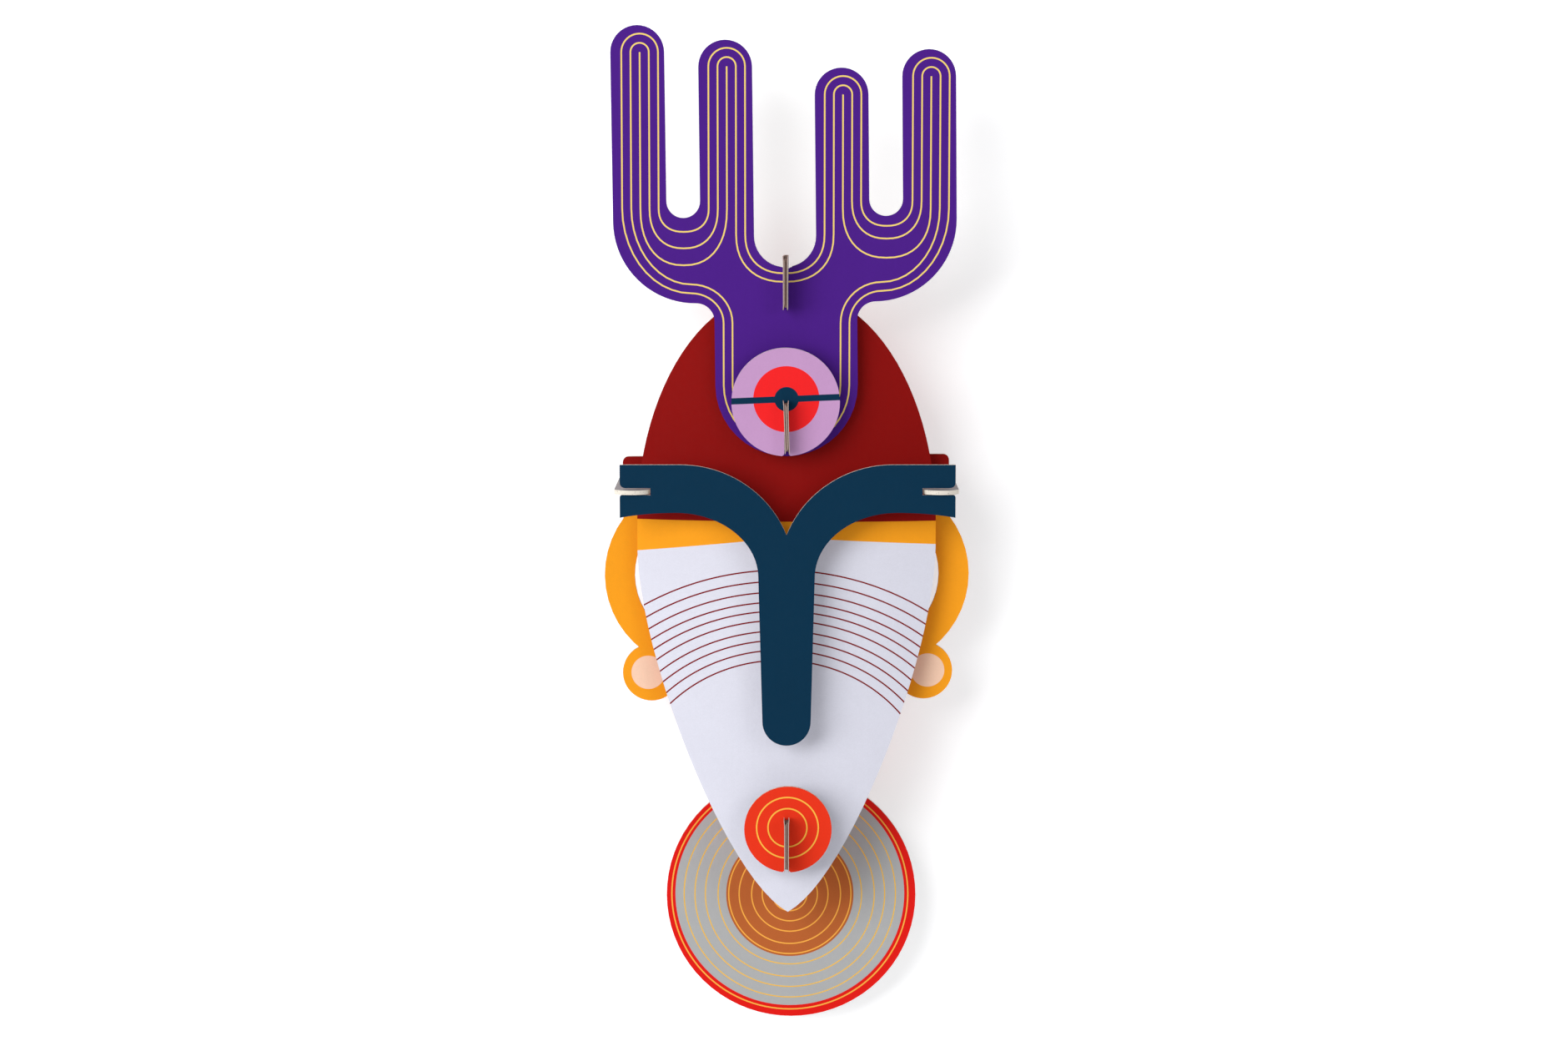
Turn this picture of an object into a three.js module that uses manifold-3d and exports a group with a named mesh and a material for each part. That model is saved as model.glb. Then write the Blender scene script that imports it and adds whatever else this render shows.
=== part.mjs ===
// A slot-together cardboard wall mask: eight flat or bent cards carried by an upright spine card
// and a level rib card. The cards are drawn as they face the room: X to the right, Y up and
// Z out from the wall, in millimetres. The last lines stand the whole mask up, +Z up.
// The origin is on the wall, at the height where the spine hangs.

import * as THREE from "three";
import { mergeVertices } from "three/addons/utils/BufferGeometryUtils.js";
import Module from "manifold-3d";

const wasm = await Module();
wasm.setup();

// Board and slots
const board = 2; // thickness of the corrugated board
const clearance = 0.3; // free gap round a board in its slot
const slotWidth = board + 2 * clearance;
const mouthRadius = 1.2; // rounded mouth of an open slot
const browLipRadius = 2.8; // the rounder upper lip of the brow's two slots
const browSlotGap = 0.9; // free height above the rib in the brow's slots
const tipRadius = 2; // rounded corner of a tab or finger
const minute = 0.05; // lets a cutting tool run past the face that it cuts

// Distance from the wall to the printed front of each card
const chinFront = 16;
const earsFront = 30;
const faceFront = 46; // at the middle; the face bends back from there
const antlersFront = 50;
const browFront = 58;
const foreheadFront = 58;
const mouthFront = 58;
const crestTabFront = 62; // the spine's tab above the antlers' neck
const foreheadTabFront = 66;
const mouthTabFront = 68;
const ribFront = 60.3; // the rib's arms stand just proud of the brow

// Heights, from the hanging point
const ribHeight = -85;
const browTop = -72.6;
const browBottom = -96.6;

// Antlers: four round-topped prongs on a waisted neck
const prongRadius = 12.05;
const innerProngX = 26;
const outerProngX = 65.25;
const prongTops = [124.8, 117.9, 105, 112.8]; // outer left, inner left, inner right, outer right
const sideValleyBottom = 38.7;
const middleValleyBottom = 16.2;
const shoulderRadius = 36.8;
const shoulderBottom = 0.3;
const neckHalf = 32.2;
const neckEnd = -37.2; // centre of the neck's round lower end
const neckSlitTop = -29; // leaves the card room to slip up onto the spine's tab
const antlersLean = { degrees: 0.6, pivot: -35 }; // the card stands a little out of true

// Discs: the mouth and the chin sit a little to the right of their slots
const foreheadDisc = { radius: 24.45, centre: -44.15, offset: -0.4 };
const mouthDisc = { radius: 20, centre: -240.25, offset: 0.65 };
const chinDisc = { radius: 58.6, centre: -280.6, offset: 2.2 };

// Face
const faceHalf = 68.4;
const faceBend = 300; // radius of the bend
const faceTop = 6;
const domeSpring = -100; // where the dome starts above the straight cheek
const cheekEnd = -112;
const faceTip = -281.6;
const faceTipOffset = 0.6;

// Brow and nose
const browLeft = 75.4; // from the middle to each end of the brow
const browRight = 76.4;
const noseTopHalf = 12.8;
const noseEndHalf = 11;
const noseEnd = -190.3; // centre of the nose's round end
const browNotch = -104.7;

// Back card with brim and ears
const brimTop = -71;
const brimHalf = 75;
const earX = 39.8;
const earHeight = -126.3;
const earRadius = 44.2;
const earHoleX = 37;
const earHoleRadius = 33.1;
const backPanelHalf = 36; // half of the card left between the two ear holes
const lobeX = 63;
const lobeHeight = -171.6;
const lobeRadius = 13.25;
const earsLean = { degrees: 0.45, pivot: -110 };
const backPanelBottom = -180;

// Spine
const spineTop = 15;
const spineBottom = -272;
const hangHoleRadius = 2.5;
const hangHoleFromWall = 9;

// Rib
const ribHalf = 78;
const ribArmInner = 61.8;
const armEndRadius = 9.7;

const COLOURS = {
  board: 0xcfc6bb,
  antlers: 0x491f81,
  forehead: 0xc598c5,
  brow: 0x0c2f49,
  face: 0xdddee9,
  ears: 0xf2a02f,
  mouth: 0xee3e26,
  chin: 0xacaca8,
};

// Solids and meshes

function toSolid(geometry) {
  const bare = geometry.clone();
  bare.deleteAttribute("normal");
  bare.deleteAttribute("uv");
  const merged = mergeVertices(bare, 1e-4);
  const triangles = [];
  for (let i = 0; i < merged.index.count; i += 3) {
    const corners = [0, 1, 2].map((k) => merged.index.getX(i + k));
    if (new Set(corners).size === 3) triangles.push(...corners); // leaves out slivers at an arc's seam
  }
  return new wasm.Manifold(
    new wasm.Mesh({
      numProp: 3,
      vertProperties: new Float32Array(merged.attributes.position.array),
      triVerts: new Uint32Array(triangles),
    }),
  );
}

function toGeometry(solid) {
  const mesh = solid.getMesh();
  const geometry = new THREE.BufferGeometry();
  geometry.setAttribute("position", new THREE.BufferAttribute(mesh.vertProperties, 3));
  geometry.setIndex(new THREE.BufferAttribute(mesh.triVerts, 1));
  geometry.computeVertexNormals();
  return geometry;
}

function named(name, solid, colour) {
  const material = new THREE.MeshStandardMaterial({ color: colour, roughness: 0.75, metalness: 0 });
  const mesh = new THREE.Mesh(toGeometry(solid), material);
  mesh.name = name;
  return mesh;
}

// A flat card cut from the board, its printed front at the given distance from the wall.
function cardGeometry(shape, front, curveSegments = 8) {
  const geometry = new THREE.ExtrudeGeometry(shape, { depth: board, bevelEnabled: false, curveSegments });
  geometry.translate(0, 0, front - board);
  return geometry;
}

// Turns a card in its own plane, about a point on the middle line. A positive lean is to the left.
function leaned(geometry, { degrees, pivot }) {
  const angle = THREE.MathUtils.degToRad(degrees);
  return geometry.translate(0, -pivot, 0).rotateZ(angle).translate(0, pivot, 0);
}

// A cutting block between two corners, in the cards' drawing frame.
function block(low, high) {
  const size = high.map((value, axis) => value - low[axis]);
  const geometry = new THREE.BoxGeometry(...size);
  geometry.translate(...low.map((value, axis) => value + size[axis] / 2));
  return toSolid(geometry);
}

// A slot for the upright spine, through a card, between two heights.
function spineSlot(front, bottom, top, depth = board) {
  const half = slotWidth / 2;
  return block([-half, bottom, front - depth - minute], [half, top, front + minute]);
}

// The two slots through which the rib's arms pass, open at the card's sides.
function ribSlots(front, outer, depth = board, gap = clearance) {
  const bottom = ribHeight - slotWidth / 2;
  const top = ribHeight + board / 2 + gap;
  const inner = ribArmInner - clearance;
  const cut = (low, high) =>
    block([low, bottom, front - depth - minute], [high, top, front + minute]);
  return cut(-outer - 1, -inner).add(cut(inner, outer + 1));
}

// A polygon whose corners are rounded by a radius given beside each corner: [x, y, radius].
function roundedShape(corners) {
  const shape = new THREE.Shape();
  corners.forEach(([x, y, radius = 0], i) => {
    const corner = new THREE.Vector2(x, y);
    const [previous, next] = [corners.at(i - 1), corners[(i + 1) % corners.length]].map(
      ([nx, ny]) => new THREE.Vector2(nx, ny).sub(corner).setLength(radius).add(corner),
    );
    const start = radius ? previous : corner;
    if (i === 0) shape.moveTo(start.x, start.y);
    else shape.lineTo(start.x, start.y);
    if (radius) shape.quadraticCurveTo(x, y, next.x, next.y);
  });
  shape.closePath();
  return shape;
}

// The rounded mouth of a slot, to be cut out at a card's edge. It opens along +Y before its turn.
// Each lip has its side of the slot, as a distance from the middle, and its radius.
const evenLip = { side: slotWidth / 2, radius: mouthRadius };

function slotMouth(x, y, turn, front, left = evenLip, right = evenLip) {
  const outside = 1;
  const shape = new THREE.Shape();
  shape.moveTo(-left.side - left.radius, outside);
  shape.lineTo(-left.side - left.radius, 0);
  shape.quadraticCurveTo(-left.side, 0, -left.side, -left.radius);
  shape.lineTo(right.side, -right.radius);
  shape.quadraticCurveTo(right.side, 0, right.side + right.radius, 0);
  shape.lineTo(right.side + right.radius, outside);
  shape.closePath();
  const depth = board + 2 * minute;
  const geometry = new THREE.ExtrudeGeometry(shape, { depth, bevelEnabled: false, curveSegments: 5 });
  geometry.rotateZ(turn).translate(x, y, front - board - minute);
  return toSolid(geometry);
}

// A disc with a slot for the spine. The slot is open at the bottom (side -1) or at the top (side 1).
function slottedDisc(name, { radius, centre, offset = 0 }, front, slotEnd, side, colour) {
  const shape = new THREE.Shape().absarc(offset, centre, radius, 0, 2 * Math.PI, false);
  const rim = centre + side * Math.sqrt(radius ** 2 - offset ** 2);
  const outside = rim + side;
  const slot = spineSlot(front, Math.min(slotEnd, outside), Math.max(slotEnd, outside));
  const mouth = slotMouth(0, rim, side > 0 ? 0 : Math.PI, front);
  return named(name, toSolid(cardGeometry(shape, front, 36)).subtract(slot).subtract(mouth), colour);
}

// Antlers: one card. Its outline is drawn symmetrical but for the heights of the prongs.

function antlers() {
  const valleyX = (innerProngX + outerProngX) / 2;
  const sideValley = valleyX - innerProngX - prongRadius;
  const middleValley = innerProngX - prongRadius;
  const outerX = outerProngX + prongRadius;
  const shoulderX = outerX - shoulderRadius;
  const shoulderY = shoulderBottom + shoulderRadius;
  const fillet = shoulderX - neckHalf;
  const [outerLeft, innerLeft, innerRight, outerRight] = prongTops.map((top) => top - prongRadius);
  const shape = new THREE.Shape();
  shape.moveTo(-outerX, shoulderY);
  shape.absarc(-outerProngX, outerLeft, prongRadius, Math.PI, 0, true);
  shape.absarc(-valleyX, sideValleyBottom + sideValley, sideValley, Math.PI, 2 * Math.PI, false);
  shape.absarc(-innerProngX, innerLeft, prongRadius, Math.PI, 0, true);
  shape.absarc(0, middleValleyBottom + middleValley, middleValley, Math.PI, 2 * Math.PI, false);
  shape.absarc(innerProngX, innerRight, prongRadius, Math.PI, 0, true);
  shape.absarc(valleyX, sideValleyBottom + sideValley, sideValley, Math.PI, 2 * Math.PI, false);
  shape.absarc(outerProngX, outerRight, prongRadius, Math.PI, 0, true);
  shape.absarc(shoulderX, shoulderY, shoulderRadius, 0, -Math.PI / 2, true);
  shape.absarc(shoulderX, shoulderBottom - fillet, fillet, Math.PI / 2, Math.PI, false);
  shape.absarc(0, neckEnd, neckHalf, 0, -Math.PI, true);
  shape.absarc(-shoulderX, shoulderBottom - fillet, fillet, 0, Math.PI / 2, false);
  shape.absarc(-shoulderX, shoulderY, shoulderRadius, -Math.PI / 2, -Math.PI, true);
  const outline = leaned(cardGeometry(shape, antlersFront, 10), antlersLean);
  const crestSlot = spineSlot(antlersFront, crestCross, middleValleyBottom + middleValley);
  const neckSlit = spineSlot(antlersFront, foreheadTabBottom - clearance, neckSlitTop);
  const solid = toSolid(outline)
    .subtract(crestSlot)
    .subtract(slotMouth(0, middleValleyBottom, 0, antlersFront))
    .subtract(neckSlit);
  return named("antlers", solid, COLOURS.antlers);
}

// Face: an almond card, bent round an upright axis so that its middle stands nearest the room.

function faceOutline() {
  const dome = { y: domeSpring + 51.5, x: 43 };
  const cheek = { y: cheekEnd - 50 };
  const jaw = { x: 28.6, y: faceTip + 16 };
  const shape = new THREE.Shape();
  shape.moveTo(faceHalf, domeSpring);
  shape.bezierCurveTo(faceHalf, dome.y, dome.x, faceTop, 0, faceTop);
  shape.bezierCurveTo(-dome.x, faceTop, -faceHalf, dome.y, -faceHalf, domeSpring);
  shape.lineTo(-faceHalf, cheekEnd);
  shape.bezierCurveTo(-faceHalf, cheek.y, faceTipOffset - jaw.x, jaw.y, faceTipOffset, faceTip);
  shape.bezierCurveTo(faceTipOffset + jaw.x, jaw.y, faceHalf, cheek.y, faceHalf, cheekEnd);
  shape.closePath();
  return shape;
}

// The bent board as one band, seen from above and drawn as tall as the face.
function bentBand() {
  const steps = 20;
  const reach = faceHalf + 2;
  const axis = faceFront - faceBend;
  const arc = (radius) =>
    Array.from({ length: steps + 1 }, (_, i) => {
      const x = -reach + (2 * reach * i) / steps;
      return new THREE.Vector2(x, axis + Math.sqrt(radius ** 2 - x ** 2));
    });
  const section = new THREE.Shape([...arc(faceBend - board), ...arc(faceBend).reverse()]);
  const top = faceTop + 1;
  const tall = top - faceTip + 1;
  const band = new THREE.ExtrudeGeometry(section, { depth: tall, bevelEnabled: false });
  band.rotateX(Math.PI / 2).translate(0, top, 0);
  return toSolid(band);
}

function face() {
  const deep = 20;
  const outline = new THREE.ExtrudeGeometry(faceOutline(), {
    depth: deep,
    bevelEnabled: false,
    curveSegments: 24,
  });
  outline.translate(0, 0, faceFront + 1 - deep);
  const top = faceTop + 1;
  return named(
    "face",
    toSolid(outline)
      .intersect(bentBand())
      .subtract(spineSlot(faceFront, foreheadTabBottom - clearance, top, deep))
      .subtract(spineSlot(faceFront, mouthTabBottom - clearance, mouthTabTop + clearance, deep))
      .subtract(ribSlots(faceFront, faceHalf, deep)),
    COLOURS.face,
  );
}

// Brow and nose: one card, two curved arms that run down into a round-ended nose.

function brow() {
  const topRound = { x: 48, y: browTop - 50, down: 50 };
  const noseTop = -124;
  const underRound = { x: 50, y: -94.4 };
  const notchAngle = Math.asin((browNotch - browTop + topRound.down) / topRound.down);
  topRound.across = topRound.x / Math.cos(notchAngle);
  const shape = new THREE.Shape();
  shape.moveTo(-browLeft, browTop);
  shape.lineTo(-topRound.x, browTop);
  const { x, y, across: wide, down: tall } = topRound;
  shape.absellipse(-x, y, wide, tall, Math.PI / 2, notchAngle, true);
  shape.lineTo(0, browNotch);
  shape.absellipse(x, y, wide, tall, Math.PI - notchAngle, Math.PI / 2, true);
  shape.lineTo(browRight, browTop);
  shape.lineTo(browRight, browBottom);
  shape.quadraticCurveTo(browRight - 12, underRound.y, underRound.x, underRound.y);
  const across = underRound.x - noseTopHalf;
  const down = underRound.y - noseTop;
  shape.absellipse(underRound.x, noseTop, across, down, Math.PI / 2, Math.PI, false);
  shape.lineTo(noseEndHalf, noseEnd);
  shape.absarc(0, noseEnd, noseEndHalf, 0, -Math.PI, true);
  shape.lineTo(-noseTopHalf, noseTop);
  shape.absellipse(-underRound.x, noseTop, across, down, 0, Math.PI / 2, false);
  shape.quadraticCurveTo(12 - browLeft, underRound.y, -browLeft, browBottom);
  shape.closePath();
  const upperLip = { side: board / 2 + browSlotGap, radius: browLipRadius };
  const solid = toSolid(cardGeometry(shape, browFront, 12))
    .subtract(ribSlots(browFront, browRight, board, browSlotGap))
    .subtract(slotMouth(-browLeft, ribHeight, Math.PI / 2, browFront, evenLip, upperLip))
    .subtract(slotMouth(browRight, ribHeight, -Math.PI / 2, browFront, upperLip, evenLip));
  return named("brow_and_nose", solid, COLOURS.brow);
}

// Back card: a brim behind the brow, two ears with round holes, and a panel between them.

function backCard() {
  const cut = (shape) => toSolid(leaned(cardGeometry(shape, earsFront, 24), earsLean));
  const disc = (x, y, radius) => cut(new THREE.Shape().absarc(x, y, radius, 0, 2 * Math.PI, false));
  const brimCorner = 3.2;
  const brimEnd = -100; // hidden behind the face and the brow
  let solid = cut(
    roundedShape([
      [-brimHalf, brimTop, brimCorner],
      [-brimHalf, brimEnd],
      [-earX, backPanelBottom],
      [earX, backPanelBottom],
      [brimHalf, brimEnd],
      [brimHalf, brimTop, brimCorner],
    ]),
  );
  for (const side of [-1, 1]) {
    const lobeBridge = roundedShape([
      [side * earX, earHeight - earHoleRadius],
      [side * (lobeX - 2), earHeight - earHoleRadius],
      [side * lobeX, backPanelBottom],
      [side * earX, backPanelBottom],
    ]);
    solid = solid
      .add(disc(side * earX, earHeight, earRadius))
      .add(disc(side * lobeX, lobeHeight, lobeRadius))
      .add(cut(lobeBridge));
  }
  const panel = block(
    [-backPanelHalf, earHeight - earRadius, earsFront - board - minute],
    [backPanelHalf, earHeight + earRadius, earsFront + minute],
  );
  for (const side of [-1, 1]) {
    solid = solid.subtract(disc(side * earHoleX, earHeight, earHoleRadius).subtract(panel));
  }
  solid = solid
    .subtract(spineSlot(earsFront, backCross, brimTop + 1))
    .subtract(ribSlots(earsFront, brimHalf));
  return named("ears_and_brim", solid, COLOURS.ears);
}

// Spine: an upright card in the middle, its back edge flat on the wall.
// At each crossing the card's slot ends at the height named here and the spine's slot takes the rest.

const crestTop = 21.6;
const crestBottom = -2.6;
const crestCross = 7;
const foreheadTabTop = -43.2;
const foreheadTabBottom = -67;
const foreheadCross = -54;
const mouthTabTop = -234.2;
const mouthTabBottom = -258.2;
const mouthCross = -245;
const backCross = -125;
const chinCross = -250;

function spine() {
  const slotBack = (front) => front - board - clearance;
  const slotFront = (front) => front + clearance;
  const noseEdge = faceFront - board - clearance; // the edge that the bent face lies on
  const neckEdge = slotBack(antlersFront);
  const shape = roundedShape([
    [0, spineBottom, tipRadius],
    [0, spineTop, 3 * tipRadius],
    [neckEdge - 4, spineTop, tipRadius],
    [neckEdge - 2, crestTop, tipRadius],
    [crestTabFront, crestTop, tipRadius],
    [crestTabFront, crestBottom, tipRadius],
    [slotFront(antlersFront), crestBottom, tipRadius],
    [slotFront(antlersFront), crestCross + clearance],
    [neckEdge, crestCross + clearance],
    [neckEdge, foreheadTabTop],
    [slotBack(foreheadFront), foreheadTabTop, tipRadius],
    [slotBack(foreheadFront), foreheadCross - clearance],
    [slotFront(foreheadFront), foreheadCross - clearance],
    [slotFront(foreheadFront), foreheadTabTop, tipRadius],
    [foreheadTabFront, foreheadTabTop, tipRadius],
    [foreheadTabFront, foreheadTabBottom, tipRadius],
    [noseEdge, foreheadTabBottom],
    [noseEdge, mouthTabTop],
    [slotBack(mouthFront), mouthTabTop, tipRadius],
    [slotBack(mouthFront), mouthCross - clearance],
    [slotFront(mouthFront), mouthCross - clearance],
    [slotFront(mouthFront), mouthTabTop, tipRadius],
    [mouthTabFront, mouthTabTop, tipRadius],
    [mouthTabFront, mouthTabBottom, tipRadius],
    [noseEdge, mouthTabBottom],
    [noseEdge, mouthTabBottom - 8, 2 * tipRadius],
    [slotFront(earsFront), mouthTabBottom - 8, tipRadius],
    [slotFront(earsFront), backCross + clearance],
    [slotBack(earsFront), backCross + clearance],
    [slotBack(earsFront), spineBottom, tipRadius],
    [slotFront(chinFront), spineBottom, tipRadius],
    [slotFront(chinFront), chinCross + clearance],
    [slotBack(chinFront), chinCross + clearance],
    [slotBack(chinFront), spineBottom, tipRadius],
  ]);
  const hangHole = new THREE.Path().absarc(hangHoleFromWall, 0, hangHoleRadius, 0, 2 * Math.PI, false);
  shape.holes.push(hangHole);
  const geometry = new THREE.ExtrudeGeometry(shape, { depth: board, bevelEnabled: false, curveSegments: 6 });
  geometry.rotateY(-Math.PI / 2).translate(board / 2, 0, 0);
  const half = slotWidth / 2;
  const ribNotch = block([-board, ribHeight - half, -1], [board, ribHeight + half, ribCross + clearance]);
  return named("spine", toSolid(geometry).subtract(ribNotch), COLOURS.board);
}

// Rib: a level card behind the back card, with an arm at each end that reaches to the brow.

const ribCross = 14;

function rib() {
  const baseFront = earsFront - board - clearance;
  const half = slotWidth / 2;
  const armX = (ribHalf + ribArmInner) / 2;
  const halfSweep = Math.asin((ribHalf - armX) / armEndRadius);
  const shape = new THREE.Shape();
  const armEnd = (x) => {
    const start = Math.PI / 2 - halfSweep;
    shape.absarc(x, ribFront - armEndRadius, armEndRadius, start, start + 2 * halfSweep, false);
  };
  shape.moveTo(-ribHalf, 0);
  shape.lineTo(ribHalf, 0);
  armEnd(armX);
  shape.lineTo(ribArmInner, baseFront);
  shape.lineTo(half, baseFront);
  shape.lineTo(half, ribCross);
  shape.lineTo(-half, ribCross);
  shape.lineTo(-half, baseFront);
  shape.lineTo(-ribArmInner, baseFront);
  armEnd(-armX);
  shape.closePath();
  const geometry = new THREE.ExtrudeGeometry(shape, { depth: board, bevelEnabled: false, curveSegments: 8 });
  geometry.rotateX(Math.PI / 2).translate(0, ribHeight + board / 2, 0);
  return named("brow_rib", toSolid(geometry), COLOURS.board);
}

const mask = new THREE.Group();
mask.add(
  spine(),
  rib(),
  antlers(),
  slottedDisc("forehead_disc", foreheadDisc, foreheadFront, foreheadCross, -1, COLOURS.forehead),
  brow(),
  face(),
  backCard(),
  slottedDisc("mouth_disc", mouthDisc, mouthFront, mouthCross, -1, COLOURS.mouth),
  slottedDisc("chin_disc", chinDisc, chinFront, chinCross, 1, COLOURS.chin),
);
mask.rotation.x = Math.PI / 2; // the wall is the plane Y = 0 and the mask faces -Y

export default mask;
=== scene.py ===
# A slot-together cardboard wall mask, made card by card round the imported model.
# Heights are Z, the wall is the plane Y = 0 and the mask faces -Y. Card shapes come from the frame.
# Prints are drawn in millimetres on each card: to the right of the middle, and up from the hole that
# the mask hangs by.

import math

import bmesh
import bpy
import numpy as np
from mathutils import Matrix, Vector
from mathutils.geometry import delaunay_2d_cdt


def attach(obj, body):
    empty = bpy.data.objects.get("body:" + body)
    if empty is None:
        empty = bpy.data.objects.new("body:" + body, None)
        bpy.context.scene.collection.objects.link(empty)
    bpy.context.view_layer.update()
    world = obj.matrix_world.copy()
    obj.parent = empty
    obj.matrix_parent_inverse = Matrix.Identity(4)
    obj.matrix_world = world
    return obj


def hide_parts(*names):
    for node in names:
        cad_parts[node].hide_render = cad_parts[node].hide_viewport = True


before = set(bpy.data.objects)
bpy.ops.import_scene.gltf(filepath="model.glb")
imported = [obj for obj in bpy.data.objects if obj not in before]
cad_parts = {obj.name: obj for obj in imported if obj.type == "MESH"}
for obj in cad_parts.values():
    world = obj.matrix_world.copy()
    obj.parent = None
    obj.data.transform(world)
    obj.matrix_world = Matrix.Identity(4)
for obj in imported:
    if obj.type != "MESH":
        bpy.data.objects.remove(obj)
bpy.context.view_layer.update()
scene = bpy.context.scene

# Camera, wall, floor and light
# The mask is seen from straight ahead and a little above, on a pale wall, by a broad light from
# the left. The wall and the floor are clear from behind, and still throw light back at the mask.

camera_place = (-0.00114, -1.5636, 0.0859)
camera_dip = 7  # degrees below level
camera_data = bpy.data.cameras.new("camera")
camera_data.lens = 77
camera_data.sensor_width = 36
camera_data.clip_start = 0.05
camera = bpy.data.objects.new("camera", camera_data)
camera.location = camera_place
camera.rotation_euler = (math.radians(90 - camera_dip), 0, 0)
scene.collection.objects.link(camera)
scene.camera = camera
scene.view_settings.view_transform = "Standard"


class Wire:
    """A node's output. Arithmetic on it adds Math nodes."""

    def __init__(self, shader, socket):
        self.shader = shader
        self.socket = socket

    def maths(self, operation, *values):
        numbers = dict(enumerate(values))
        return self.shader.node("ShaderNodeMath", {"operation": operation}, numbers)

    def __add__(self, other):
        return self.maths("ADD", self, other)

    def __mul__(self, other):
        return self.maths("MULTIPLY", self, other)

    def __sub__(self, other):
        return self.maths("SUBTRACT", self, other)

    def __rsub__(self, other):
        return self.maths("SUBTRACT", other, self)

    __radd__ = __add__
    __rmul__ = __mul__


class Shader:
    """A material under construction."""

    def __init__(self, name):
        self.material = bpy.data.materials.new(name)
        self.material.use_nodes = True
        self.tree = self.material.node_tree
        self.tree.nodes.clear()

    def node(self, kind, settings=None, sockets=None, output=0):
        made = self.tree.nodes.new(kind)
        for key, value in (settings or {}).items():
            setattr(made, key, value)
        for key, value in (sockets or {}).items():
            if isinstance(value, Wire):
                self.tree.links.new(value.socket, made.inputs[key])
            else:
                made.inputs[key].default_value = value
        return Wire(self, made.outputs[output])

    def finish(self, surface):
        output = self.tree.nodes.new("ShaderNodeOutputMaterial")
        self.tree.links.new(surface.socket, output.inputs["Surface"])
        return self.material


def backdrop(name, corners, colour, glow):
    """A plain sheet of the room, matt on its front and clear from behind."""
    shader = Shader(name)
    sockets = {"Base Color": (*colour, 1), "Roughness": 0.9, "Specular IOR Level": 0.1}
    sockets |= {"Emission Color": (1, 1, 1, 1), "Emission Strength": glow}
    paint = shader.node("ShaderNodeBsdfPrincipled", sockets=sockets)
    behind = shader.node("ShaderNodeNewGeometry", output="Backfacing")
    clear = shader.node("ShaderNodeBsdfTransparent")
    surface = shader.node("ShaderNodeMixShader", sockets={0: behind, 1: paint, 2: clear})
    mesh = bpy.data.meshes.new(name)
    mesh.from_pydata(corners, [], [range(len(corners))])
    mesh.materials.append(shader.finish(surface))
    sheet = bpy.data.objects.new(name, mesh)
    scene.collection.objects.link(sheet)


room = 5
floor_height = -1.4
wall_back = 0.0004  # leaves the cards' back edges a hair in front of the wall
backdrop(
    "wall",
    [
        (-room, wall_back, floor_height),
        (room, wall_back, floor_height),
        (room, wall_back, room),
        (-room, wall_back, room),
    ],
    (0.9, 0.9, 0.905),
    0.38,
)
backdrop(
    "floor",
    [
        (-room, -room, floor_height),
        (room, -room, floor_height),
        (room, room, floor_height),
        (-room, room, floor_height),
    ],
    (0.82, 0.82, 0.82),
    0,
)

world = bpy.data.worlds.new("room light")
world.use_nodes = True
air = world.node_tree.nodes["Background"].inputs
air["Color"].default_value = (0.96, 0.97, 1, 1)
air["Strength"].default_value = 0.36
scene.world = world
mask_middle = Vector((0, 0, -0.1))


def window(name, place, width, height, power):
    """A soft light that faces the middle of the mask."""
    light = bpy.data.lights.new(name, "AREA")
    light.shape = "RECTANGLE"
    light.size = width
    light.size_y = height
    light.energy = power
    lamp = bpy.data.objects.new(name, light)
    lamp.location = place
    aim = mask_middle - Vector(place)
    lamp.rotation_euler = aim.to_track_quat("-Z", "Z").to_euler()
    scene.collection.objects.link(lamp)


window("left window", (-1.3, -1.6, 0.42), 2.0, 1.0, 32)
window("right window", (1.2, -1.7, 0.4), 0.8, 0.9, 5.2)

# Spine
# An upright card of bare grey corrugated board that carries the others in its slots. Only its
# three tabs show from the front, edge on, with the two liners a little apart at their tips.

board = 2.0
liner = 0.3
bite = 0.04  # how far the flutes sink into the two liners together
core_height = board - 2 * liner + bite
flute_pitch = 3.3
flute_paper = 0.2


def linear(red, green, blue, tone=1.0):
    """A print colour from 0 to 255 as the light that paper of that colour throws back."""
    levels = (value / 255 for value in (red, green, blue))
    return [
        tone * (level / 12.92 if level < 0.04045 else ((level + 0.055) / 1.055) ** 2.4)
        for level in levels
    ]


bare_face = linear(196, 193, 190, 0.85)
bare_edge = linear(236, 226, 214, 0.95)
bare_core = linear(214, 203, 190, 0.95)


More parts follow.
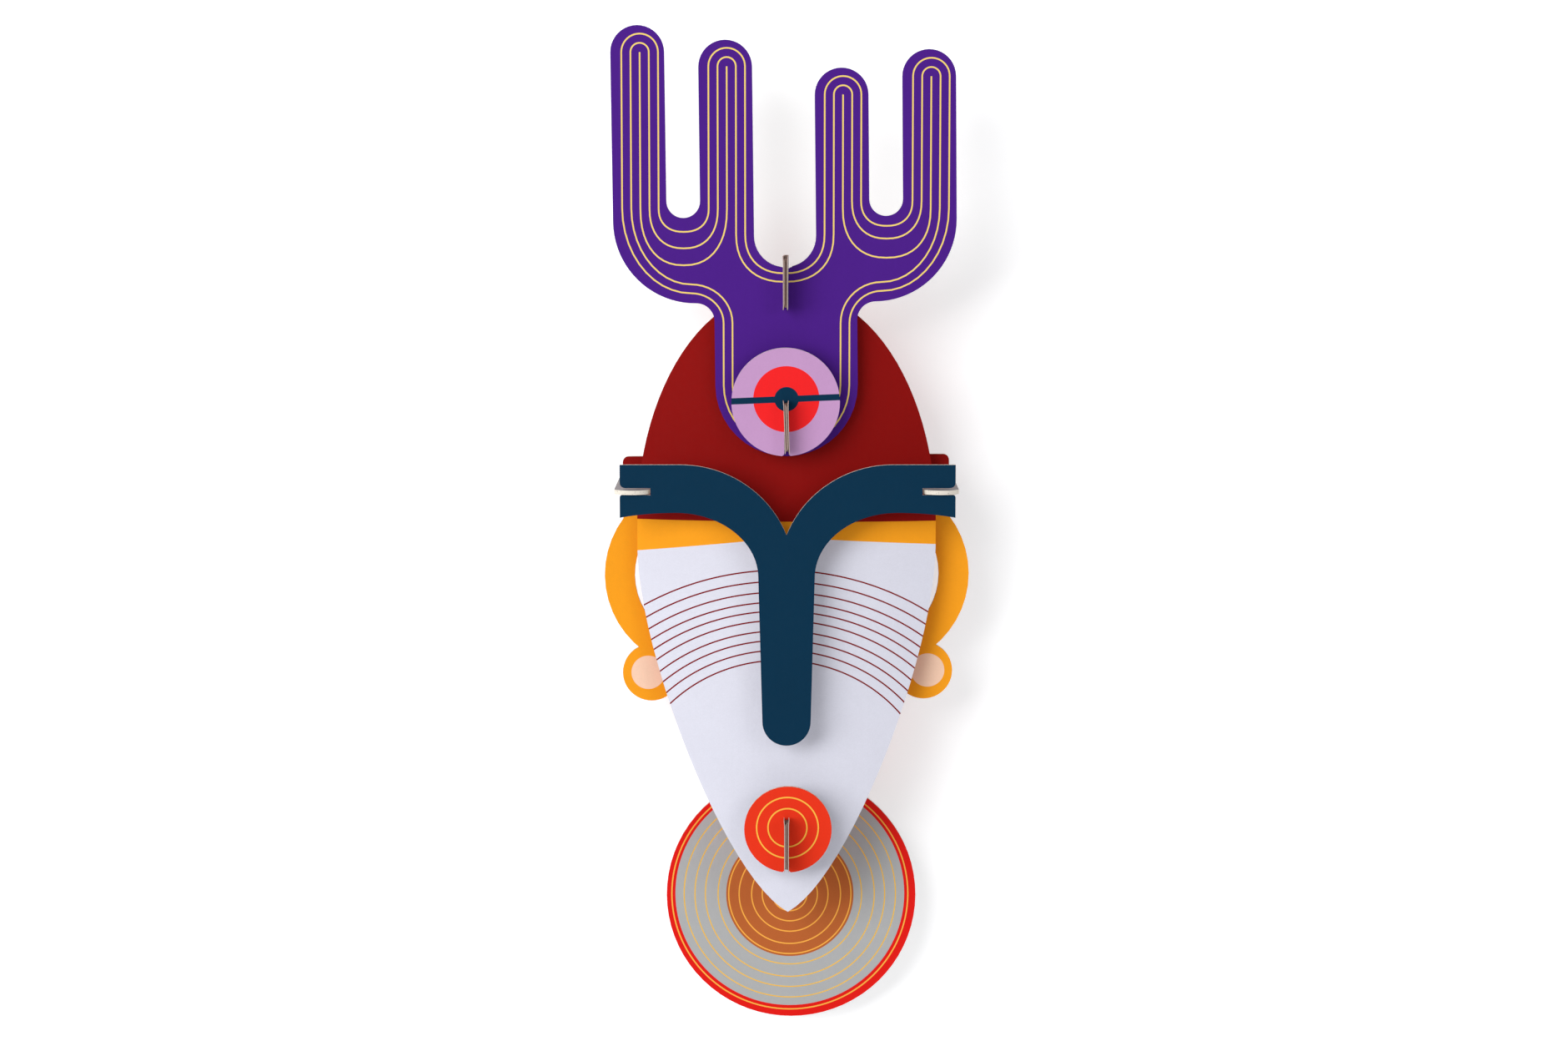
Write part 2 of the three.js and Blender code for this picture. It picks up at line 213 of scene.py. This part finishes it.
def board_material(name, flecks, shine, ripple):
    """Paper in the colours of the ink attribute, with fibres, flecks and a hint of the flutes."""
    shader = Shader(name)
    ink = shader.node("ShaderNodeAttribute", {"attribute_name": "ink"}, output="Color")
    spot = shader.node("ShaderNodeTexCoord", output="Object")

    def noise(scale, detail, seed):
        shift = (seed, seed * 2, seed * 3)
        moved = shader.node("ShaderNodeVectorMath", sockets={0: spot, 1: shift})
        sockets = {"Vector": moved, "Scale": scale, "Detail": detail, "Roughness": 0.6}
        return shader.node("ShaderNodeTexNoise", sockets=sockets)

    cloudy = noise(28, 2, 3.1) - 0.5
    fibre = noise(1500, 3, 1.7) - 0.5
    grain = noise(420, 4, 8.3) - 0.5
    specks = {"Value": noise(1250, 2, 5.9), "From Min": 0.58, "From Max": 0.7}
    specks |= {"To Min": 0, "To Max": 1}
    fleck = shader.node("ShaderNodeMapRange", {"interpolation_type": "SMOOTHSTEP"}, specks)
    tone = 1 + cloudy * 0.07 + fibre * 0.1 + grain * 0.05 - fleck * flecks
    colour = shader.node("ShaderNodeVectorMath", {"operation": "SCALE"}, {0: ink, "Scale": tone})
    height = fibre * 0.02 + grain * 0.012
    if ripple:
        across = shader.node("ShaderNodeSeparateXYZ", sockets={0: spot}, output="X")
        turn = across * (2 * math.pi * 1000 / flute_pitch)
        height = height + turn.maths("SINE", turn) * ripple
    relief = {"Strength": 1, "Distance": 0.001, "Height": height}
    normal = shader.node("ShaderNodeBump", sockets=relief)
    surface = shader.node(
        "ShaderNodeBsdfPrincipled",
        sockets={
            "Base Color": colour,
            "Roughness": 0.72 + grain * 0.25,
            "Specular IOR Level": shine,
            "Normal": normal,
        },
    )
    return shader.finish(surface)


bare_board = board_material("bare board", flecks=0.34, shine=0.25, ripple=0)


def flute_tree():
    """Geometry Nodes: one wavy sheet of paper, cut to the shape of the card that it is given."""
    tree = bpy.data.node_groups.new("fluted core", "GeometryNodeTree")

    def entry(name, kind):
        tree.interface.new_socket(name, in_out="INPUT", socket_type=kind)

    entry("Geometry", "NodeSocketGeometry")
    for name in ("Width", "Length", "Pitch", "Rise", "Paper", "Curvature", "Phase"):
        entry(name, "NodeSocketFloat")
    entry("Centre", "NodeSocketVector")
    entry("Turn", "NodeSocketRotation")
    entry("Ink", "NodeSocketColor")
    entry("Material", "NodeSocketMaterial")
    tree.interface.new_socket("Geometry", in_out="OUTPUT", socket_type="NodeSocketGeometry")
    given = tree.nodes.new("NodeGroupInput").outputs

    def node(kind, settings=None, **sockets):
        made = tree.nodes.new(kind)
        for key, value in (settings or {}).items():
            setattr(made, key, value)
        for key, values in sockets.items():
            place = int(key[1:]) if key[1:].isdigit() else key.replace("_", " ")
            for value in values if isinstance(values, list) else [values]:
                if isinstance(value, bpy.types.NodeSocket):
                    tree.links.new(value, made.inputs[place])
                else:
                    made.inputs[place].default_value = value
        return made.outputs[0]

    def maths(operation, *values):
        numbers = {f"i{place}": value for place, value in enumerate(values)}
        return node("ShaderNodeMath", {"operation": operation}, **numbers)

    samples_each = 12
    waves = maths("DIVIDE", given["Width"], given["Pitch"])
    samples = maths("CEIL", maths("MULTIPLY", waves, samples_each))
    size = {"Size_X": given["Width"], "Size_Y": given["Length"]}
    sheet = node("GeometryNodeMeshGrid", Vertices_X=samples, Vertices_Y=2, **size)
    place = tree.nodes.new("GeometryNodeInputPosition").outputs[0]
    parts = tree.nodes.new("ShaderNodeSeparateXYZ")
    tree.links.new(place, parts.inputs[0])
    across = parts.outputs["X"]
    turn = maths("DIVIDE", maths("MULTIPLY", across, 2 * math.pi), given["Pitch"])
    half_rise = maths("DIVIDE", maths("SUBTRACT", given["Rise"], given["Paper"]), 2)
    wave = maths("MULTIPLY", maths("SINE", maths("ADD", turn, given["Phase"])), half_rise)
    bent = maths("MULTIPLY", maths("POWER", across, 2), given["Curvature"])
    ratio = maths("MULTIPLY", maths("POWER", maths("MULTIPLY", across, given["Curvature"]), 2), -1)
    drop = maths("DIVIDE", bent, maths("ADD", maths("SQRT", maths("ADD", ratio, 1)), 1))
    low = maths("SUBTRACT", maths("SUBTRACT", wave, drop), maths("DIVIDE", given["Paper"], 2))
    lift = node("ShaderNodeCombineXYZ", Z=low)
    waved = node("GeometryNodeSetPosition", Geometry=sheet, Offset=lift)
    thickness = node("ShaderNodeCombineXYZ", Z=given["Paper"])
    top = node("GeometryNodeExtrudeMesh", Mesh=waved, Offset=thickness, Individual=False)
    bottom = node("GeometryNodeFlipFaces", Mesh=waved)
    shell = node("GeometryNodeJoinGeometry", Geometry=[top, bottom])
    closed = node("GeometryNodeMergeByDistance", Geometry=shell, Distance=1e-6)
    where = {"Translation": given["Centre"], "Rotation": given["Turn"]}
    placed = node("GeometryNodeTransform", Geometry=closed, **where)
    crossing = {"operation": "INTERSECT", "solver": "MANIFOLD"}
    cut = node("GeometryNodeMeshBoolean", crossing, i1=[placed, given["Geometry"]])
    inked = node(
        "GeometryNodeStoreNamedAttribute",
        {"data_type": "FLOAT_COLOR", "domain": "FACE"},
        Geometry=cut,
        Name="ink",
        Value=given["Ink"],
    )
    real = node("GeometryNodeRealizeInstances", Geometry=inked)
    dressed = node("GeometryNodeSetMaterial", Geometry=real, Material=given["Material"])
    end = tree.nodes.new("NodeGroupOutput")
    tree.links.new(dressed, end.inputs[0])
    return tree


fluted_core = flute_tree()


def within(edges, spots):
    """Which of the spots lie inside closed edges, each a pair of points."""
    right, up = spots[:, 0], spots[:, 1]
    inside = np.zeros(len(spots), bool)
    for (u0, v0), (u1, v1) in edges:
        if v0 != v1:
            level = (v0 > up) != (v1 > up)
            inside ^= level & (right < (u1 - u0) * (up - v0) / (v1 - v0) + u0)
    return inside


def closed_edges(loops):
    return [pair for loop in loops for pair in zip(loop, [*loop[1:], loop[0]])]


same_corner = 2e-6  # metres
least_facing = 0.9  # the cosine that a flat of a card has at least to its facing, bent cards too
column_width = 2  # a bent card's sheets are cut into flat upright strips no wider than this


class Card:
    """One die-cut card. Its two liners and its core are laid one by one, then joined.

    The flutes follow each other in the direction across, and each runs in the direction along.
    The printed side faces the cross product of the two. Lengths are in millimetres until the card
    is finished.
    """

    def __init__(self, node, across, along, curvature=0.0):
        self.node = node
        self.across = Vector(across)
        self.along = Vector(along)
        self.out = self.across.cross(self.along)
        self.curvature = curvature
        self.points, self.faces, self.inks, self.printed = [], [], [], []
        self.solid = bmesh.new()
        self.solid.from_mesh(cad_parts[node].data)
        bmesh.ops.remove_doubles(self.solid, verts=self.solid.verts, dist=same_corner)
        corners = np.array([vert.co for vert in self.solid.verts]) * 1000
        spread = [corners @ np.array(axis) for axis in (self.across, self.along, self.out)]
        self.low = [float(values.min()) for values in spread]
        self.high = [float(values.max()) for values in spread]
        reach = max(-self.low[0], self.high[0]) + column_width
        steps = 2 * math.ceil(reach / column_width)
        self.columns = np.linspace(-reach, reach, steps + 1) if curvature else []

    def front(self, across):
        """Where the printed surface is, measured out along the card's facing."""
        if not self.curvature:
            return np.full(len(across), self.high[2])
        radius = 1 / self.curvature
        bent = self.high[2] - radius + np.sqrt(radius**2 - self.columns**2)
        return np.interp(across, self.columns, bent)

    def rim(self, side):
        """The edges round one flat of the solid card, as pairs of points."""
        outward = self.out * side
        flat = {face for face in self.solid.faces if face.normal.dot(outward) > least_facing}
        edges = []
        for edge in self.solid.edges:
            if sum(face in flat for face in edge.link_faces) == 1:
                ends = [vert.co * 1000 for vert in edge.verts]
                edges.append([(end.dot(self.across), end.dot(self.along)) for end in ends])
        return edges

    def lay_liner(self, side, ink, edge_ink, prints=(), printed=False, area=None, plug=False):
        """A flat sheet of paper on one side, cut into its inked areas, with its own thickness.

        A plug fills the core's place instead, and only in the area given.
        """
        past = 5
        rim = self.rim(side)
        lines = list(rim)
        for _, loops in [*prints, (None, area or [])]:
            lines += closed_edges(loops)
        for column in self.columns:
            lines.append([(column, self.low[1] - past), (column, self.high[1] + past)])
        ends = [Vector(end) for line in lines for end in line]
        pairs = [(i, i + 1) for i in range(0, len(ends), 2)]
        same_spot = 1e-4
        found = delaunay_2d_cdt(ends, pairs, [], 0, same_spot)
        spots = np.array([tuple(spot) for spot in found[0]])
        triangles = np.array(found[2])
        triangles = triangles[within(rim, spots[triangles].mean(1))]
        if area:
            triangles = triangles[within(closed_edges(area), spots[triangles].mean(1))]
        centres = spots[triangles].mean(1)
        inks = np.tile(np.array(ink), (len(triangles), 1))
        for colour, loops in prints:
            inks[within(closed_edges(loops), centres)] = colour
        if side < 0:
            triangles = triangles[:, ::-1]
        used, triangles = np.unique(triangles, return_inverse=True)
        triangles = triangles.reshape(-1, 3)
        spots = spots[used]
        count = len(spots)
        sunk = (board if side < 0 else 0) + (side * liner if plug else 0)
        outer = self.front(spots[:, 0]) - sunk
        inner = outer - side * (board - 2 * liner if plug else liner)
        for level in (outer, inner):
            for (right, up), out in zip(spots, level):
                self.points.append(self.across * right + self.along * up + self.out * out)
        start = len(self.points) - 2 * count
        walls = set()
        for a, b, c in triangles:
            walls |= {(a, b), (b, c), (c, a)}
        walls = [(a, b) for a, b in walls if (b, a) not in walls]
        cut_edges = [(b, a, a + count, b + count) for a, b in sorted(walls)]
        inner_faces = triangles[:, ::-1] + count
        self.inks += [tuple(colour) for colour in inks]
        self.inks += [edge_ink] * (len(inner_faces) + len(cut_edges))
        self.printed += [printed] * len(triangles)
        self.printed += [False] * (len(inner_faces) + len(cut_edges))
        for faces in (triangles, inner_faces, cut_edges):
            self.faces += [tuple(start + int(i) for i in face) for face in faces]

    def lay_core(self, ink, phase=0.0, recess=None):
        """The fluted sheet between the liners, from the Geometry Nodes tree."""
        mesh = bpy.data.meshes.new("core blank")
        self.solid.to_mesh(mesh)
        if recess:
            for vert in mesh.vertices:
                vert.co = recess(vert.co * 1000) / 1000
        blank = bpy.data.objects.new("core blank", mesh)
        scene.collection.objects.link(blank)
        middle = [(a + b) / 2 for a, b in zip(self.low, self.high)]
        if self.curvature:
            middle[0] = 0.0
            middle[2] = self.high[2] - board / 2
        centre = self.across * middle[0] + self.along * middle[1] + self.out * middle[2]
        turn = Matrix((self.across, self.along, self.out)).transposed().to_euler()
        spare = 12
        values = {
            "Width": (self.high[0] - self.low[0] + spare) / 1000,
            "Length": (self.high[1] - self.low[1] + spare) / 1000,
            "Pitch": flute_pitch / 1000,
            "Rise": core_height / 1000,
            "Paper": flute_paper / 1000,
            "Curvature": self.curvature * 1000,
            "Phase": phase,
            "Centre": tuple(centre / 1000),
            "Turn": tuple(turn),
            "Ink": (*ink, 1),
            "Material": bare_board,
        }
        modifier = blank.modifiers.new("fluted core", "NODES")
        modifier.node_group = fluted_core
        for item in fluted_core.interface.items_tree:
            if item.in_out == "INPUT" and item.name in values:
                modifier[item.identifier] = values[item.name]
        graph = bpy.context.evaluated_depsgraph_get()
        made = bpy.data.meshes.new_from_object(blank.evaluated_get(graph), depsgraph=graph)
        start = len(self.points)
        self.points += [vert.co * 1000 for vert in made.vertices]
        self.faces += [tuple(start + i for i in face.vertices) for face in made.polygons]
        self.inks += [tuple(ink)] * len(made.polygons)
        self.printed += [False] * len(made.polygons)
        bpy.data.objects.remove(blank)
        bpy.data.meshes.remove(made)

    def finish(self, name, slot, print_material, shape=None):
        """Joins the sheets in one piece that stands for the CAD card."""
        points = [shape(point) for point in self.points] if shape else self.points
        mesh = bpy.data.meshes.new(name)
        mesh.from_pydata([point / 1000 for point in points], [], self.faces)
        mesh.materials.append(bare_board)
        mesh.materials.append(print_material)
        mesh.polygons.foreach_set("material_index", [int(value) for value in self.printed])
        ink = mesh.attributes.new("ink", "FLOAT_COLOR", "FACE")
        ink.data.foreach_set("color", [value for colour in self.inks for value in (*colour, 1)])
        mesh.update()
        piece = bpy.data.objects.new(name, mesh)
        scene.collection.objects.link(piece)
        self.solid.free()
        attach(piece, "root")
        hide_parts(self.node)


# Each tab's top and bottom, how far out its root is, how far its tip stands to the right, and how
# much it leans from top to bottom.
tabs = [
    (21.6, -2.6, 50, -0.55, 0),
    (-43.2, -67, 56, 0, 0.03),
    (-234.2, -258.2, 56, 0, 0),
]
tip_gap = 1.1
tip_depth = 3
tip_margin = 1


def hollow_tips(point):
    """The flutes stop short of the tips of the tabs."""
    for top, bottom, root, _, _ in tabs:
        if -point.y > root:
            if top - tip_depth < point.z < top + tip_margin:
                point.z -= tip_gap
            elif bottom - tip_margin < point.z < bottom + tip_depth:
                point.z += tip_gap
    return point


tab_margin = 2
tab_half = 12
liner_inside = 0.65  # from the middle of the board: only the liners are further out
spread_most = 0.3
head_reach, foot_reach = 4.5, 3  # how far from its two tips a tab is spread
foot_share = 0.6
ease_length = 6  # along which a tab goes from true to worn


def worn_tabs(point):
    """The liners spread a little at the tips of the tabs, and the tabs are a little out of true."""
    out = -point.y
    for top, bottom, root, shift, lean in tabs:
        if out > root - tab_margin and bottom - tab_margin < point.z < top + tab_margin:
            near_top = max(0.0, 1 - abs(top - point.z) / head_reach)
            near_foot = max(0.0, 1 - abs(bottom - point.z) / foot_reach)
            show = min(1.0, (out - root + tab_margin) / ease_length)
            if abs(point.x) > liner_inside:
                spread = spread_most * (near_top + foot_share * near_foot) ** 2
                point.x += math.copysign(spread * show, point.x)
            point.x += (shift - lean * (point.z - bottom - tab_half)) * show
    return point


spine_edge = linear(216, 190, 180, 0.85)
spine_core = linear(176, 152, 142, 0.8)
spine = Card("spine", (0, 1, 0), (0, 0, 1))
spine.lay_liner(1, bare_face, spine_edge)
spine.lay_liner(-1, bare_face, spine_edge)
spine.lay_core(spine_core, 0.6, hollow_tips)
spine.finish("spine_card", "bare_board", bare_board, worn_tabs)

# Rib
# A level card of bare board behind the ears card, its faces inked a darker grey than the other bare
# board: partly the board's own grey, partly painted shade, so that its top looks dark where it shows
# through the brow's slots. Its two arms reach through the slots of the ears card, the face and the
# brow, and end just in front of the brow. The cutting die has pressed the arms' round ends into a
# plain pale edge, so that no flutes show there.

pressed_from = -50
arm_ends = [[(-65, -90), (pressed_from, -90), (pressed_from, 90), (-65, 90)]]
core_gap = 0.4


def drawn_back(point):
    """The flutes stop short of the pressed ends."""
    if point.y < pressed_from:
        point.y += core_gap
    return point


# Darker than the other bare board: partly its own grey, partly painted shade for its top where it
# shows through the brow's slots.
rib_grey_and_painted_shade = linear(176, 172, 174, 0.8)
pressed_edge = linear(236, 228, 214)
rib = Card("brow_rib", (0, 1, 0), (1, 0, 0))
rib.lay_liner(1, rib_grey_and_painted_shade, pressed_edge)
rib.lay_liner(-1, rib_grey_and_painted_shade, pressed_edge)
rib.lay_liner(1, pressed_edge, pressed_edge, area=arm_ends, plug=True)
rib.lay_core(bare_core, 1.2, drawn_back)
rib.finish("rib_card", "bare_board", bare_board)

# Chin disc
# The round card nearest the wall, printed grey with a red rim, a brown centre and thin orange
# rings. A slot in its top holds it on the foot of the spine.

printed_board = board_material("printed board", flecks=0, shine=0.1, ripple=0.006)


def circle(centre, radius, steps=120):
    turns = np.linspace(0, 2 * math.pi, steps, endpoint=False)
    return [(centre[0] + radius * math.cos(t), centre[1] + radius * math.sin(t)) for t in turns]


def ring(centre, radius, width):
    return [circle(centre, radius + width / 2), circle(centre, radius - width / 2)]


facing_room = ((1, 0, 0), (0, 0, 1))
red_rim = linear(233, 26, 20)
grey = linear(180, 181, 181)
brown = linear(190, 102, 50)
orange = linear(255, 182, 76)
pale_orange = linear(248, 196, 75)
chin_centre = (1.6, -280.2)
grey_rings = (49.8, 44.7, 39.8, 33.8)
brown_rings = (28.8, 23.9, 18, 13, 8.1)
chin_prints = [
    (grey, [circle((1.6, -280), 53.9)]),
    (orange, ring(chin_centre, 55.6, 0.64)),
    *((pale_orange, ring(chin_centre, radius, 0.54)) for radius in grey_rings),
    (brown, [circle(chin_centre, 30)]),
    *((orange, ring(chin_centre, radius, 0.58)) for radius in brown_rings),
]
chin = Card("chin_disc", *facing_room)
chin.lay_liner(1, red_rim, bare_edge, chin_prints, True)
chin.lay_liner(-1, bare_face, bare_edge)
chin.lay_core(bare_core)
chin.finish("chin_disc_card", "grey_print", printed_board)

# Ears and brim
# One card behind the face: a dark red brim that shows above the brow, and two yellow ears, each
# with a round hole open to the wall and a salmon disc printed on its lobe.

dark_red = linear(142, 10, 7)
yellow = linear(254, 164, 30)
salmon = linear(255, 214, 186)
brim = [(-90, -97), (90, -97), (90, -60), (-90, -60)]
lobe_centres = ((-64, -172.1), (65.3, -171.0))
ears_prints = [(dark_red, [brim])]
ears_prints += [(salmon, [circle(centre, 7.8, 72)]) for centre in lobe_centres]
ears = Card("ears_and_brim", *facing_room)
ears.lay_liner(1, yellow, bare_edge, ears_prints, True)
ears.lay_liner(-1, bare_face, bare_edge)
ears.lay_core(bare_core)
ears.finish("ears_card", "yellow_print", printed_board)

# Face
# An almond card bent round an upright line, dark red above, then yellow, then pale lilac with ten
# thin dark red arcs. The spine's edge holds its middle forward, and its slots hold the bend.


def stroke(path, width):
    """The outline of a line of even width along a path."""
    path = np.array(path)
    ahead = np.gradient(path, axis=0)
    side = np.stack([-ahead[:, 1], ahead[:, 0]], 1) / np.linalg.norm(ahead, axis=1)[:, None]
    left = path + side * width / 2
    right = path - side * width / 2
    return [[tuple(spot) for spot in [*left, *right[::-1]]]]


def arc(centre, radius, start, end, steps):
    turns = np.radians(np.linspace(start, end, steps))
    return np.stack([centre[0] + radius * np.cos(turns), centre[1] + radius * np.sin(turns)], 1)


pale_lilac = linear(226, 226, 238)
arc_red = linear(134, 28, 34)
back_red = linear(205, 60, 52)
bend_radius = 300
edge_left, edge_right = (-80, -99.4), (80, -100.4)  # between the dark red and the yellow
face_prints = [
    (dark_red, [[edge_left, edge_right, (80, 20), (-80, 20)]]),
    (yellow, [[edge_left, edge_right, (80, -111.8), (0, -107.1), (-80, -115.2)]]),
]
arc_middle = -2.75
arcs = (  # the top and the radius of each
    (-122.17, 123.6),
    (-127.35, 117.3),
    (-132.33, 111.0),
    (-136.91, 105.4),
    (-141.09, 100.1),
    (-145.37, 94.2),
    (-150.24, 88.2),
    (-154.6, 82.7),
    (-159.17, 77.4),
    (-163.83, 72.1),
)
for arc_top, arc_radius in arcs:
    path = arc((arc_middle, arc_top - arc_radius), arc_radius, 25, 155, 90)
    face_prints.append((arc_red, stroke(path, 0.68)))
face = Card("face", *facing_room, curvature=1 / bend_radius)
face.lay_liner(1, pale_lilac, bare_edge, face_prints, True)
face.lay_liner(-1, back_red, bare_edge)
face.lay_core(bare_core)
face.finish("face_card", "face_print", printed_board)

# Antlers
# A flat purple card with four round-topped prongs on a waisted neck, and gold lines that follow
# its edge. Its slot stands on the spine, and its neck hangs behind the forehead disc.


def bend(start, end, upright, squareness=2.0, steps=12):
    """A quarter of an ellipse, or a squarer one, that leaves its start upright or level."""
    turns = np.linspace(0, math.pi / 2, steps)
    near = 1 - np.cos(turns) ** (2 / squareness)
    far = np.sin(turns) ** (2 / squareness)
    shares = np.stack((near, far) if upright else (far, near), 1)
    return [tuple(spot) for spot in np.array(start) + (np.array(end) - start) * shares]


def turn_back(left, right, level, top, squareness=2.0):
    """Over the top of a prong or round the foot of a valley, from left to right."""
    middle = ((left + right) / 2, top)
    first = bend((left, level), middle, True, squareness)
    return first + bend(middle, (right, level), False, squareness)[1:]


# The middle of each prong, and the foot of its round top.
prongs = ((-65.7, 112.1), (-26.8, 105.8), (25.3, 93.3), (64.8, 101.4))
valley_levels = (42.5, 31, 46)  # where the upright lines start to round into each valley
valley_squareness = 2.3
shoulder_turn = 43  # from the middle of the card, where the two curves of a shoulder meet
neck_top, neck_foot = -9, -37.2


def gold_loop(half_width, neck_half, valleys, shoulders):
    """One line all the way round, from under the forehead disc and back to it."""
    foot = (0, neck_foot - neck_half)
    left_shoulder, right_shoulder = (-shoulder_turn, shoulders[0]), (shoulder_turn, shoulders[1])
    outer_level = valley_levels[0]
    line = bend(foot, (-neck_half, neck_foot), False)
    line += bend((-neck_half, neck_top), left_shoulder, True)
    line += bend(left_shoulder, (prongs[0][0] - half_width, outer_level), False)
    for i, (middle, level) in enumerate(prongs):
        line += turn_back(middle - half_width, middle + half_width, level, level + half_width)
        if i < len(valleys):
            left, right = middle + half_width, prongs[i + 1][0] - half_width
            line += turn_back(left, right, valley_levels[i], valleys[i], valley_squareness)
    line += bend((prongs[-1][0] + half_width, outer_level), right_shoulder, True)
    line += bend(right_shoulder, (neck_half, neck_top), False)
    return line + bend((neck_half, neck_foot), foot, True)


def gold_link(left, right, valley):
    """The innermost line, up the middle of one prong, round the valley and up the next."""
    (left_middle, left_top), (right_middle, right_top) = prongs[left], prongs[right]
    cup = turn_back(left_middle, right_middle, valley_levels[0], valley, valley_squareness)
    return [(left_middle, left_top), *cup, (right_middle, right_top)]


gold_lines = [
    gold_loop(8.2, 28.4, (32, 13.4, 34.7), (4.4, 5.5)),
    gold_loop(4.1, 24.4, (24.6, 9.55, 29), (8.4, 9.5)),
    gold_link(0, 1, 17),
    gold_link(2, 3, 20.4),
]
gold = linear(250, 214, 116)
purple = linear(76, 28, 136)
antlers_prints = [(gold, stroke(line, 0.7)) for line in gold_lines]
spine_slot_half = 1.35
slot_share = 0.8  # of its drawn width, which leaves room for the spine


def snug(foot, head, shift=0.0):
    """Closes a card's slot on the spine, between two heights."""

    def shape(point):
        if abs(point.x) < spine_slot_half and foot < point.z < head:
            point.x = point.x * slot_share + shift
        return point

    return shape


antlers = Card("antlers", *facing_room)
antlers.lay_liner(1, purple, bare_edge, antlers_prints, True)
antlers.lay_liner(-1, bare_face, bare_edge)
antlers.lay_core(bare_core)
antlers.finish("antlers_card", "purple_print", printed_board, snug(6.8, 18, -0.25))

# Forehead disc
# A lilac disc with a red disc, a navy dot and a navy bar printed on it, hung on the spine's middle
# tab by the slot in its foot.

navy = linear(2, 48, 74)
lilac = linear(200, 154, 200)
bright_red = linear(248, 36, 38)
bar_half = 1.42
bar_left, bar_right = -44.03, -41.6
bar = [
    (-30, bar_left - bar_half),
    (30, bar_right - bar_half),
    (30, bar_right + bar_half),
    (-30, bar_left + bar_half),
]
forehead_prints = [
    (bright_red, [circle((-0.1, -42.8), 14.9, 96)]),
    (navy, [bar]),
    (navy, [circle((0, -42.8), 5.5, 64)]),
]
forehead = Card("forehead_disc", *facing_room)
forehead.lay_liner(1, lilac, bare_edge, forehead_prints, True)
forehead.lay_liner(-1, bare_face, bare_edge)
forehead.lay_core(bare_core)
forehead.finish("forehead_disc_card", "lilac_print", printed_board, snug(-72, -53.9))

# Brow and nose
# A plain navy card in front of the face, two arms that run down into the nose. The rib's arms hold
# it in a slot at each of its ends.

brow = Card("brow_and_nose", *facing_room)
brow.lay_liner(1, navy, bare_edge, (), True)
brow.lay_liner(-1, bare_face, bare_edge)
brow.lay_core(bare_core)
brow.finish("brow_card", "navy_print", printed_board)

# Mouth disc
# A small red-orange disc with two yellow rings printed on it, hung on the spine's lowest tab by the
# slot in its foot.

red_orange = linear(239, 54, 25)
ring_yellow = linear(255, 192, 75)
mouth_centre = (0.42, -239.4)
mouth_prints = [(ring_yellow, ring(mouth_centre, radius, 0.66)) for radius in (14.1, 8.9)]
mouth = Card("mouth_disc", *facing_room)
mouth.lay_liner(1, red_orange, bare_edge, mouth_prints, True)
mouth.lay_liner(-1, bare_face, bare_edge)
mouth.lay_core(bare_core)
mouth.finish("mouth_disc_card", "red_orange_print", printed_board, snug(-262, -244.9))
